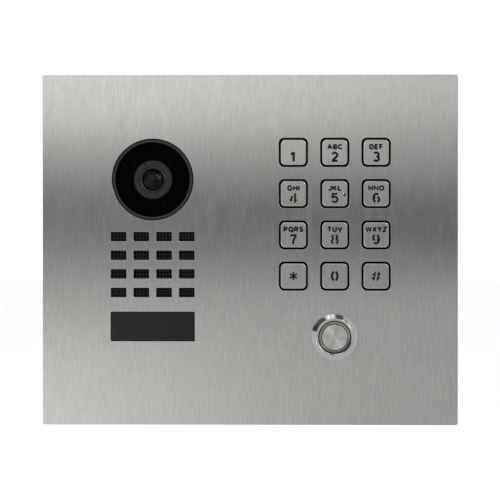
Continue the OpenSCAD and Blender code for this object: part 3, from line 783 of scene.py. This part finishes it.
# Turned pieces are drawn as closed profiles of (radius, depth, rounding of the corner).
# Depth 0 is the plate's rear face, and the depth grows into the wall.
RING_FRONT = FRONT_Y - 0.4
RING_R = 17.75
RING_FLANGE_R, RING_FLANGE_T = 20.5, 1.6
COVER_R = 16.5
COVER_BACK = FRONT_Y + 1.6
SEAT_R = 16.55


def paint_ring(item, centre, inner, outer, deepest, surface):
    """Gives the faces between two radii, in front of a depth, a material of their own."""
    item.data.materials.append(MATERIALS[surface])
    for face in item.data.polygons:
        place = face.center / MM
        reach = math.hypot(place.x - centre[0], place.z - centre[1])
        if inner < reach < outer and place.y < deepest:
            face.material_index = len(item.data.materials) - 1


def camera_ring():
    """The black ring that fills the opening, with a seat for the cover and a flange behind."""
    outline = rounded([(SEAT_R, RING_FRONT, 0.1), (RING_R - 0.25, RING_FRONT, 0.25),
                       (RING_R, RING_FRONT + 0.5, 0.1), (RING_R, 0, 0), (RING_FLANGE_R, 0, 0.15),
                       (RING_FLANGE_R, RING_FLANGE_T, 0.15), (COVER_R, RING_FLANGE_T, 0),
                       (COVER_R, 0.6, 0), (15.4, 0.6, 0.1), (15.4, COVER_BACK, 0.1),
                       (SEAT_R, COVER_BACK, 0)])
    ring = lathe("ring", outline, CAMERA, 192)
    ring.data.materials.append(MATERIALS["gloss_black"])
    # the faces inside the cover's seat get a near-black: painted shade
    ring.data.materials.append(MATERIALS["shade_black"])
    for face in ring.data.polygons:
        place = face.center / MM
        reach = math.hypot(place.x - CAMERA[0], place.z - CAMERA[1])
        if reach < SEAT_R + 0.02 and place.y > RING_FRONT + 0.15:
            face.material_index = 1
    finish(ring, "gloss_black", ROOT, ["camera_ring"])


def camera_cover():
    """The clear round plate in the ring's seat."""
    outline = rounded([(0, FRONT_Y, 0), (COVER_R, FRONT_Y, 0.15), (COVER_R, COVER_BACK, 0.1),
                       (0, COVER_BACK, 0)])
    finish(lathe("cover", outline, CAMERA, 128), "clear_cover", ROOT, ["camera_cover"])


SHROUD_R, SHROUD_BORE_R = 15.3, 8.7
SHROUD_FACE, SHROUD_BACK = -0.2, 14
SHROUD_WALL, SHROUD_FLOOR = 1.1, 1.0
SHROUD_RINGS, SHROUD_RING_PITCH = 4, 1.3


def camera_shroud():
    """The black cup round the lens; its floor has shallow rings against stray light. Its near-black
    is painted shade inside the cup.
    """
    steps = []
    for i in range(SHROUD_RINGS):
        r = 13.9 - SHROUD_RING_PITCH * i
        low = SHROUD_FACE + 0.15
        steps += [(r, SHROUD_FACE, 0.05), (r - 0.25, low, 0.05), (r - 0.5, low, 0.05)]
    floor_back = SHROUD_FACE + SHROUD_FLOOR
    outline = [(SHROUD_BORE_R, floor_back, 0), (SHROUD_BORE_R, SHROUD_FACE, 0.1)] + steps[::-1]
    outline += [(SHROUD_R, SHROUD_FACE, 0.2), (SHROUD_R, SHROUD_BACK, 0.1),
                (SHROUD_R - SHROUD_WALL, SHROUD_BACK, 0), (SHROUD_R - SHROUD_WALL, floor_back, 0)]
    finish(lathe("shroud", rounded(outline, 2), CAMERA, 128), "black_plastic", ROOT,
           ["camera_shroud"], "shade_black")


BARREL_R, BARREL_HEAD_BACK = 8.6, 2.2
BARREL_BACK = 12.6
M12_R, M12_ROOT_R, M12_PITCH, M12_TURNS = 5.95, 5.75, 0.5, 16
NOTCH_SIZE = (1.9, 1.6, 1.4)
NOTCH_TURN = -27


def lens_barrel():
    """The lens housing, with a fine groove, a bright bevel inside it and a small notch."""
    threads = []
    for i in range(M12_TURNS):
        y = 4.0 + M12_PITCH * i
        threads += [(M12_R, y, 0), (M12_ROOT_R, y + M12_PITCH / 2, 0)]
    rim = [(5.05, -0.5, 0.3), (5.5, -0.7, 0.3), (5.8, -0.45, 0.08)]
    groove = [(5.85, 0, 0), (6.15, 0, 0)]
    head = [(6.2, -0.65, 0.05), (8.3, -0.7, 0.25), (BARREL_R, -0.35, 0.1),
            (BARREL_R, BARREL_HEAD_BACK, 0.2), (M12_R, BARREL_HEAD_BACK, 0)]
    bore = [(M12_R, BARREL_BACK, 0.1), (4.2, BARREL_BACK, 0), (4.2, 3.4, 0), (4.75, 3.4, 0),
            (4.75, 0.2, 0.1)]
    outline = rim + groove + head + threads + bore
    barrel = lathe("barrel", rounded(outline, 3), CAMERA, 160)
    barrel.data.materials.append(MATERIALS["lens_black"])
    paint_ring(barrel, CAMERA, 5.0, 5.65, -0.2, "rim_metal")
    notch = bmesh.new()
    bmesh.ops.create_cube(notch, size=1)
    bmesh.ops.scale(notch, vec=NOTCH_SIZE, verts=notch.verts)
    bmesh.ops.translate(notch, vec=(0, -0.6, BARREL_R), verts=notch.verts)
    turn = Matrix.Rotation(math.radians(NOTCH_TURN), 3, "Y")
    bmesh.ops.rotate(notch, cent=(0, 0, 0), matrix=turn, verts=notch.verts)
    bmesh.ops.translate(notch, vec=(CAMERA[0], 0, CAMERA[1]), verts=notch.verts)
    cut(barrel, object_from("notch", notch))
    shade(barrel.data)
    finish(barrel, "lens_black", ROOT, ["lens_barrel"])


LENS_R, LENS_BULGE_R = 4.7, 9
LENS_FRONT, LENS_BACK = -0.7, 3.3
SECOND_LENS_R = 1.35


def dome(radius, bulge, apex, steps=14):
    """Profile points of a shallow dome from its edge to its middle."""
    limit = math.asin(radius / bulge)
    points = []
    for i in range(steps + 1):
        angle = limit * (1 - i / steps)
        points.append((bulge * math.sin(angle), apex + bulge * (1 - math.cos(angle))))
    return points


def lenses():
    """The front lens, the stepped baffle behind it and the small second lens."""
    front = dome(LENS_R, LENS_BULGE_R, LENS_FRONT)
    outline = front + [(0, LENS_BACK), (LENS_R, LENS_BACK)]
    finish(lathe("first_lens", outline, CAMERA, 96), "lens_glass", ROOT, ["front_lens"])
    rings = rounded([(4.15, 3.6, 0), (4.15, 8, 0), (0, 8, 0), (0, 5.6, 0), (1.4, 5.6, 0),
                     (1.4, 4.9, 0.1), (2.1, 4.7, 0.1), (2.3, 4.1, 0.1), (3.1, 4.0, 0.1),
                     (3.3, 3.6, 0.1)], 3)
    # the baffle's near-black is painted shade deep in the lens
    finish(lathe("lens_baffle", rings, CAMERA, 96), "lens_black", ROOT, [], "baffle_shade_black")
    inner = dome(SECOND_LENS_R, 2.2, 4.85, 10) + [(0, 5.5), (SECOND_LENS_R, 5.5)]
    finish(lathe("second_lens", inner, CAMERA, 64), "lens_glass", ROOT, [], "inner_glass")


camera_ring()
camera_cover()
camera_shroud()
lens_barrel()
lenses()


# ---- grille mesh and window

MESH_PITCH = 1.45
WIRE_R = 0.2
WINDOW_GAP = 0.2


def woven_mesh():
    """Two sets of wires that pass over and under each other, rolled flat."""
    low, high = box_mm("grille_mesh")
    x, z = GRILLE
    width, height = high.x - low.x - 2 * WIRE_R, high.z - low.z - 2 * WIRE_R
    columns, rows = int(width / MESH_PITCH), int(height / MESH_PITCH)
    build = bmesh.new()
    for i in range(columns + 1):
        path = []
        for k in range(4 * rows + 1):
            wave = WIRE_R * math.sin(math.pi * (k / 4 + i))
            path.append(Vector((x + (i - columns / 2) * MESH_PITCH, wave,
                                z + (k / 4 - rows / 2) * MESH_PITCH)))
        add_tube(build, path, WIRE_R, 6)
    for j in range(rows + 1):
        path = []
        for k in range(4 * columns + 1):
            wave = -WIRE_R * math.sin(math.pi * (k / 4 + j + 0.5))
            path.append(Vector((x + (k / 4 - columns / 2) * MESH_PITCH, wave,
                                z + (j - rows / 2) * MESH_PITCH)))
        add_tube(build, path, WIRE_R, 6)
    squeeze = (high.y - low.y) / (4 * WIRE_R)
    bmesh.ops.scale(build, vec=(1, squeeze, 1), verts=build.verts)
    bmesh.ops.translate(build, vec=(0, (low.y + high.y) / 2, 0), verts=build.verts)
    finish(object_from("woven_mesh", build, 80), "mesh_black", ROOT, ["grille_mesh"])


def reader_window():
    """The window: a boss that fills the opening, on a flange behind the plate."""
    low, high = box_mm("reader_window")
    x, z = WINDOW
    build = bmesh.new()
    boss_w, boss_h = WINDOW_W - 2 * WINDOW_GAP, WINDOW_H - 2 * WINDOW_GAP
    add_sheet(build, [rounded_rect(x, z, boss_w, boss_h, 0.6, 5)], low.y, 0.2, 0.18, 4)
    flange = rounded_rect(x, z, high.x - low.x, high.z - low.z, 1)
    add_sheet(build, [flange], 0, high.y, 0.12, 2)
    window = object_from("window", build)
    finish(window, "window_plastic", ROOT, ["reader_window"])


woven_mesh()
reader_window()


# ---- call button

CAP_FACE = box_mm("call_button_cap")[0].y
CAP_R, CAP_FACE_R = 7, 5.6
BEZEL_R, BEZEL_FRONT = 10.55, -5.1
BORE_R = 7.35
THREAD_R, THREAD_ROOT_R, THREAD_PITCH, THREAD_TURNS = 9.4, 9.05, 1, 11
SPRING_R, SPRING_WIRE_R, SPRING_TURNS, SPRING_STEPS = 4, 0.4, 7, 24


def button_housing():
    """The polished bezel and its threaded body."""
    threads = []
    for i in range(THREAD_TURNS):
        y = 4.8 + THREAD_PITCH * i
        threads += [(THREAD_R, y, 0), (THREAD_ROOT_R, y + THREAD_PITCH / 2, 0)]
    outline = [(BORE_R, -4.75, 0.15), (7.75, BEZEL_FRONT, 0.25), (8.3, BEZEL_FRONT, 0.5),
               (BEZEL_R - 0.4, -3.8, 0.25), (BEZEL_R, -3.4, 0.04), (BEZEL_R, -3, 0),
               (THREAD_R, -3, 0)] + threads
    outline += [(THREAD_R, 15.9, 0.1), (7.7, 16, 0), (7.7, 6, 0), (8, 6, 0), (8, 2.5, 0),
                (BORE_R, 2.5, 0)]
    finish(lathe("bezel", rounded(outline, 5), BUTTON, 192), "bright_steel", ROOT,
           ["call_button_housing"])


def button_cap():
    """The pressed cap: a turned face with a sloping rim, hollow behind."""
    face = [(0, CAP_FACE, 0), (CAP_FACE_R, CAP_FACE, 0.12), (6.05, CAP_FACE + 1.1, 0.2),
            (CAP_R - 0.1, CAP_FACE + 1.5, 0.2), (CAP_R, CAP_FACE + 1.9, 0.15)]
    skirt = [(CAP_R, 2.8, 0), (7.6, 2.8, 0.1), (7.6, 3.8, 0.1), (5.4, 3.8, 0)]
    stem = [(5.4, -2.6, 0), (2.5, -2.6, 0), (2.5, 4.5, 0.2), (0, 4.5, 0)]
    cap = lathe("cap", rounded(face + skirt + stem, 5), BUTTON, 160)
    cap.data.materials.append(MATERIALS["turned_steel"])
    # the sloping rim gets the darker steel: painted shade in the groove round the cap
    paint_ring(cap, BUTTON, CAP_FACE_R + 0.12, CAP_R + 0.05, -2, "rim_painted_shade")
    finish(cap, "key_steel", "call_button_cap", ["call_button_cap"])


def button_wiper():
    """A black lip round the cap that keeps rain out of the bore; its near-black is painted shade
    deep in the groove.
    """
    lip_r = CAP_R + 0.08
    outline = rounded([(lip_r, -3.1, 0.04), (BORE_R, -3.3, 0.04), (BORE_R, -2.4, 0),
                       (lip_r, -2.4, 0)], 3)
    finish(lathe("wiper", outline, BUTTON, 128), "black_rubber", ROOT, [], "shade_black")


def button_spring():
    """A coil of wire round the call button's axis."""
    low, high = box_mm("call_button_spring")
    length = high.y - low.y
    count = SPRING_TURNS * SPRING_STEPS
    path = []
    for i in range(count + 1):
        angle = 2 * math.pi * SPRING_TURNS * i / count
        path.append(Vector((BUTTON[0] + SPRING_R * math.cos(angle),
                            low.y + SPRING_WIRE_R + (length - 2 * SPRING_WIRE_R) * i / count,
                            BUTTON[1] + SPRING_R * math.sin(angle))))
    build = bmesh.new()
    add_tube(build, path, SPRING_WIRE_R, 10)
    spring = object_from("spring", build, 80)
    finish(spring, "spring_steel", ROOT, ["call_button_spring"])
    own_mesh(spring)


button_housing()
button_cap()
button_wiper()
button_spring()


# ---- CAD nodes keep their shape

# the rounding of each node's edges, in millimetres
EDGE = {"back_box": 0.5, "chassis": 0.4, "rear_cover": 0.3, "cable_grommet": 0.3,
        "network_socket": 0.3, "terminal_block": 0.2, "relays": 0.4, "board_chips": 0.12,
        "keypad_frame": 0.3, "lens_holder": 0.3, "speaker_bracket": 0.3,
        "call_button_switch": 0.3, "stud_nuts": 0.2, "call_button_nut": 0.3,
        "snap_clips": 0.1, "panel_gasket": 0.15, "microphone_boot": 0.3}


def soften(item, width):
    """Rounds a CAD node's edges with modifiers, and keeps the faces beside them flat."""
    weld = item.modifiers.new("weld", "WELD")
    weld.merge_threshold = 0.00001
    flat = item.modifiers.new("flat", "DECIMATE")
    flat.decimate_type = "DISSOLVE"
    flat.angle_limit = math.radians(2)
    bevel = item.modifiers.new("bevel", "BEVEL")
    bevel.width = width * MM
    bevel.segments = 2
    bevel.limit_method = "ANGLE"
    bevel.angle_limit = math.radians(40)
    normals = item.modifiers.new("flat_faces", "WEIGHTED_NORMAL")
    normals.mode = "FACE_AREA"
    normals.weight = 60
    normals.keep_sharp = True


slot_of = {part["node"]: part["material_slot"] for part in frame["record"]["subparts"]}
for node, item in NODES.items():
    item.data.materials.clear()
    item.data.materials.append(MATERIALS[slot_of[node]])
    if node in EDGE:
        soften(item, EDGE[node])
# painted shade: what stands right behind the grille is blackened, so that the slots look as dark as
# the shade in them
for node in ("microphone", "microphone_boot", "speaker_gasket", "speaker_bracket"):
    NODES[node].data.materials[0] = MATERIALS["baffle_shade_black"]


# ---- studio

def card(name, centre, width, height, normal):
    """A flat card that shows only in reflections."""
    mesh = bpy.data.meshes.new(name)
    w, h = width / 2, height / 2
    mesh.from_pydata([(-w, -h, 0), (w, -h, 0), (w, h, 0), (-w, h, 0)], [], [(0, 1, 2, 3)])
    item = new_object(name, mesh)
    item.location = centre
    item.rotation_euler = Vector(normal).to_track_quat("Z", "Y").to_euler()
    item.visible_camera = False
    item.visible_diffuse = False
    item.visible_transmission = False
    item.visible_shadow = False
    return item


# Brightness of the studio wall that the steel reflects: height in metres, left, middle, right.
# The brushed steel shows it as a bright top, a dark band at the middle and a lighter foot.
BANDS = [
    (-0.20, 1.30, 0.40, 0.40),
    (-0.12, 1.10, 0.45, 0.40),
    (-0.06, 0.60, 0.50, 0.50),
    (-0.03, 0.45, 0.25, 0.25),
    (0.00, 0.30, 0.20, 0.10),
    (0.03, 0.20, 0.20, 0.05),
    (0.06, 0.30, 0.45, 0.35),
    (0.09, 0.65, 0.60, 0.35),
    (0.12, 1.10, 1.10, 0.55),
    (0.20, 1.15, 1.25, 0.65),
]
CARD_DISTANCE = 1.25
CARD_W = 3.2
CARD_H = 1.2
COLUMNS = (-0.23, -0.05, 0.14)


def emitter(item, strength=1.0):
    """Gives a card a material that only shines, and returns its node tree and its shader."""
    material = bpy.data.materials.new(item.name)
    material.use_nodes = True
    tree = material.node_tree
    tree.nodes.clear()
    light = tree.nodes.new("ShaderNodeEmission")
    set_sockets(light, Strength=strength)
    output = tree.nodes.new("ShaderNodeOutputMaterial")
    tree.links.new(light.outputs["Emission"], output.inputs["Surface"])
    item.data.materials.append(material)
    return tree, light


def band_ramp(nodes, links, height, column):
    """The wall's brightness down one column of BANDS."""
    ramp = nodes.new("ShaderNodeValToRGB")
    while len(ramp.color_ramp.elements) < len(BANDS):
        ramp.color_ramp.elements.new(0.5)
    for element, band in zip(ramp.color_ramp.elements, BANDS):
        element.position = 0.5 + band[0] / CARD_H
        element.color = (band[column], band[column], band[column], 1)
    links.new(height, ramp.inputs["Fac"])
    return ramp.outputs["Color"]


def across(nodes, links, source, start, end, left, right):
    """A colour that goes from left to right between two places on the card."""
    part = nodes.new("ShaderNodeMapRange")
    set_sockets(part, From_Min=0.5 - start / CARD_W, From_Max=0.5 - end / CARD_W)
    links.new(source, part.inputs["Value"])
    mix = nodes.new("ShaderNodeMixRGB")
    links.new(part.outputs["Result"], mix.inputs["Fac"])
    links.new(left, mix.inputs["Color1"])
    links.new(right, mix.inputs["Color2"])
    return mix.outputs["Color"]


def front_card():
    """The graded studio wall that the steel reflects."""
    tree, light = emitter(card("front_card", (0, -CARD_DISTANCE, 0), CARD_W, CARD_H, (0, 1, 0)))
    nodes, links = tree.nodes, tree.links
    place = nodes.new("ShaderNodeTexCoord")
    parts = nodes.new("ShaderNodeSeparateXYZ")
    links.new(place.outputs["Generated"], parts.inputs["Vector"])
    left, middle, right = [band_ramp(nodes, links, parts.outputs["Y"], i) for i in (1, 2, 3)]
    inner = across(nodes, links, parts.outputs["X"], COLUMNS[0], COLUMNS[1], left, middle)
    whole = across(nodes, links, parts.outputs["X"], COLUMNS[1], COLUMNS[2], inner, right)
    links.new(whole, light.inputs["Color"])


front_card()


def glow_card(name, off_axis, clock, width, height, strength, distance=1.1):
    """An even card that faces the panel from an angle off straight ahead, at a clock direction."""
    turn = math.radians(90 - 30 * clock)
    tilt = math.radians(off_axis)
    place = Vector((distance * math.sin(tilt) * math.cos(turn), -distance * math.cos(tilt),
                    distance * math.sin(tilt) * math.sin(turn)))
    emitter(card(name, place, width, height, -place), strength)


# small softboxes and dark flags for the call button's polished bezel, the steel edges and the lens
glow_card("bezel_light", 70, 11.6, 0.42, 0.5, 0.75, 1.2)
glow_card("bezel_stripe_left", 70, 11.58, 0.09, 0.4, 1.5)
glow_card("bezel_stripe_right", 70, 11.93, 0.07, 0.4, 1.3)
glow_card("dark_flag_left", 70, 10.22, 0.7, 0.9, 0.1)
glow_card("dark_flag_top", 68, 12.52, 0.34, 0.5, 0.1)
glow_card("rim_light", 50, 1.6, 0.35, 0.35, 0.9)
glow_card("edge_flag", 92, 9.7, 2.0, 0.25, 0.05, 0.8)
glow_card("ceiling_flag", 44, 12.4, 1.6, 0.55, 0.12, 1.3)
glow_card("lens_spot_high", 34, 1.1, 0.14, 0.14, 6)
glow_card("lens_spot_low", 36, 2.1, 0.17, 0.17, 8)


def soft_light(name, place, size, power):
    """A square studio light aimed at the panel, for its matt surfaces."""
    light = bpy.data.lights.new(name, "AREA")
    light.size = size
    light.energy = power
    item = new_object(name, light)
    item.location = place
    item.rotation_euler = (-Vector(place)).to_track_quat("-Z", "Y").to_euler()
    item.visible_camera = False
    item.visible_glossy = False


soft_light("light_upper_left", (-0.8, -0.9, 0.95), 0.5, 6)
soft_light("light_right", (0.95, -0.9, 0.5), 0.4, 3)

WORLD_ON_MATT, WORLD_IN_SHINE = 1.07, 0.55


def studio_world():
    """White all round, but dimmer where shiny surfaces reflect it."""
    world = bpy.data.worlds.new("studio")
    bpy.context.scene.world = world
    world.use_nodes = True
    nodes, links = tree_of(world)
    background = nodes["Background"]
    set_sockets(background, Color=(1, 1, 1, 1))
    path = nodes.new("ShaderNodeLightPath")
    strength = nodes.new("ShaderNodeMapRange")
    set_sockets(strength, To_Min=WORLD_ON_MATT, To_Max=WORLD_IN_SHINE)
    links.new(path.outputs["Is Glossy Ray"], strength.inputs["Value"])
    links.new(strength.outputs["Result"], background.inputs["Strength"])


studio_world()


FLOOR_HALF = 6.0
FLOOR_DROP = 0.09


def floor():
    """A plain pale floor, a little below the panel, which is shown as it hangs on a wall."""
    mesh = bpy.data.meshes.new("floor")
    h = FLOOR_HALF
    mesh.from_pydata([(-h, -h, 0), (h, -h, 0), (h, h, 0), (-h, h, 0)], [], [(0, 1, 2, 3)])
    item = new_object("floor", mesh)
    item.location = (0, 0, PLATE_LOW.z * MM - FLOOR_DROP)
    item.data.materials.append(principled("floor", (0.95, 0.95, 0.95), 0.9))
    item.visible_glossy = False


floor()


# ---- camera and sizes

# the photo is taken almost straight on, from about a metre
VIEW_LENS = 162.6
VIEW_PLACE = (0.0278, -1.00291, 0.01208)
VIEW_TURN = (1.55871, 0.00024, 0.02771)

bpy.context.scene.view_settings.view_transform = "Standard"
camera_data = bpy.data.cameras.new("camera")
camera_data.lens = VIEW_LENS
camera_data.sensor_width = 36
camera = new_object("camera", camera_data)
camera.location = VIEW_PLACE
camera.rotation_euler = VIEW_TURN
bpy.context.scene.camera = camera
